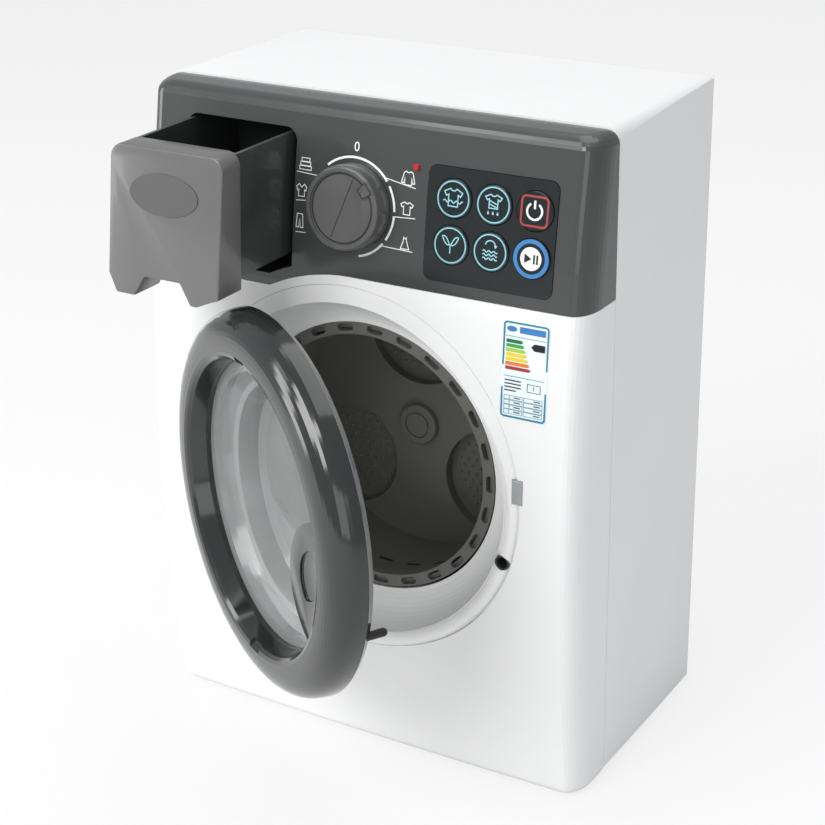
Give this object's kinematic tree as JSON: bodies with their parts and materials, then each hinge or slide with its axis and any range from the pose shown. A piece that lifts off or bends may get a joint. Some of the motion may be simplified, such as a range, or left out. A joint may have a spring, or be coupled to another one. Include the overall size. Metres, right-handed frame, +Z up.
{
  "type": "toy washing machine",
  "caption": "Front-loading toy washing machine with a hinged porthole door, turning drum, pull-out drawer, dial and push buttons.",
  "frame": {"origin": "middle of the cabinet's base, on the surface it stands on", "axes": "+X to the right seen from the front, -Y out of the front, +Z up"},
  "size_m": [0.2222, 0.2326, 0.3008],
  "materials": {
    "body_white": "satin moulded white plastic",
    "fascia_grey": "glossy dark grey moulded plastic",
    "door_grey": "glossy charcoal moulded plastic",
    "drawer_grey": "glossy mid-dark grey plastic",
    "inner_grey": "dark grey plastic",
    "drum_grey": "dark warm grey plastic",
    "window": "smoky clear moulded plastic",
    "panel_black": "gloss black plate",
    "button_dark": "gloss black cap with a pale ring",
    "button_red": "gloss dark cap with a red frame",
    "button_blue": "gloss dark cap with a blue ring",
    "led_red": "clear red plastic",
    "label": "printed film with coloured bars",
    "grey_clear": "grey plastic",
    "steel": "plated steel",
    "board": "glass fibre circuit board",
    "acetal": "natural acetal",
    "cone": "black speaker cone and basket",
    "cell": "sleeved dry cell"
  },
  "bodies": {
    "cabinet": {"rear_shell": "body_white", "front_shell": "body_white", "fascia": "fascia_grey", "door_surround": "body_white", "latch_socket": "inner_grey", "door_striker": "grey_clear", "hinge_bracket": "door_grey", "hinge_pin": "steel", "rating_label": "label", "button_panel": "panel_black", "led_lens": "led_red", "circuit_board": "board", "board_screws": "steel", "rotary_switch": "inner_grey", "drawer_housing": "inner_grey", "drum_tub": "inner_grey", "drum_bush": "acetal", "gear_plate": "inner_grey", "gear_plate_screws": "steel", "motor": "steel", "speaker": "cone", "battery_box": "inner_grey", "batteries": "cell", "battery_contacts": "steel", "battery_cover": "body_white", "battery_screw": "steel", "case_screws": "steel"},
    "door": {"door_bezel": "door_grey", "door_window": "window", "door_back_ring": "door_grey", "door_handle_plate": "door_grey", "door_latch_peg": "inner_grey", "door_screws": "steel"},
    "drawer": {"drawer_front": "drawer_grey", "drawer_tray": "inner_grey", "drawer_badge": "grey_clear"},
    "knob": {"knob": "fascia_grey", "knob_shaft": "acetal"},
    "drum": {"drum": "drum_grey", "drum_front_ring": "drum_grey", "drum_shaft": "steel", "drum_gear": "acetal"},
    "pinion": {"motor_pinion": "acetal", "motor_shaft": "steel"},
    "button_wash": {"button_wash": "button_dark"},
    "button_rinse": {"button_rinse": "button_dark"},
    "button_power": {"button_power": "button_red"},
    "button_eco": {"button_eco": "button_dark"},
    "button_spin": {"button_spin": "button_dark"},
    "button_play": {"button_play": "button_blue"}
  },
  "joints": [
    {"name": "door_hinge", "type": "hinge", "parent": "cabinet", "child": "door", "pos_m": [-0.0795, -0.0874, 0.14275], "axis": [0, 0, -1], "range_deg": [-30.3, 59.7]},
    {"name": "drawer_slide", "type": "slide", "parent": "cabinet", "child": "drawer", "axis": [0, -1, 0], "range_m": [-0.0525, 0.006]},
    {"name": "knob_turn", "type": "hinge", "parent": "cabinet", "child": "knob", "pos_m": [0, -0.06492, 0.2593], "axis": [0, -0.9888, 0.1492], "range_deg": [-75, 179]},
    {"name": "wash_press", "type": "slide", "parent": "cabinet", "child": "button_wash", "axis": [0, 0.9871, -0.1602], "range_m": [0, 0.001], "stiffness_N_per_m": 400},
    {"name": "rinse_press", "type": "slide", "parent": "cabinet", "child": "button_rinse", "axis": [0, 0.9871, -0.1602], "range_m": [0, 0.001], "stiffness_N_per_m": 400},
    {"name": "power_press", "type": "slide", "parent": "cabinet", "child": "button_power", "axis": [0, 0.9871, -0.1602], "range_m": [0, 0.001], "stiffness_N_per_m": 400},
    {"name": "eco_press", "type": "slide", "parent": "cabinet", "child": "button_eco", "axis": [0, 0.9903, -0.1391], "range_m": [0, 0.001], "stiffness_N_per_m": 400},
    {"name": "spin_press", "type": "slide", "parent": "cabinet", "child": "button_spin", "axis": [0, 0.9903, -0.1391], "range_m": [0, 0.001], "stiffness_N_per_m": 400},
    {"name": "play_press", "type": "slide", "parent": "cabinet", "child": "button_play", "axis": [0, 0.9903, -0.1391], "range_m": [0, 0.001], "stiffness_N_per_m": 400},
    {"name": "drum_spin", "type": "hinge", "parent": "cabinet", "child": "drum", "pos_m": [0, -0.0575, 0.1405], "axis": [0, 1, 0], "continuous": true},
    {"name": "pinion_spin", "type": "hinge", "parent": "cabinet", "child": "pinion", "pos_m": [0, 0.02, 0.1105], "axis": [0, 1, 0], "continuous": true}
  ],
  "couplings": [
    {"joint": "pinion_spin", "follows": "drum_spin", "ratio": -4}
  ]
}
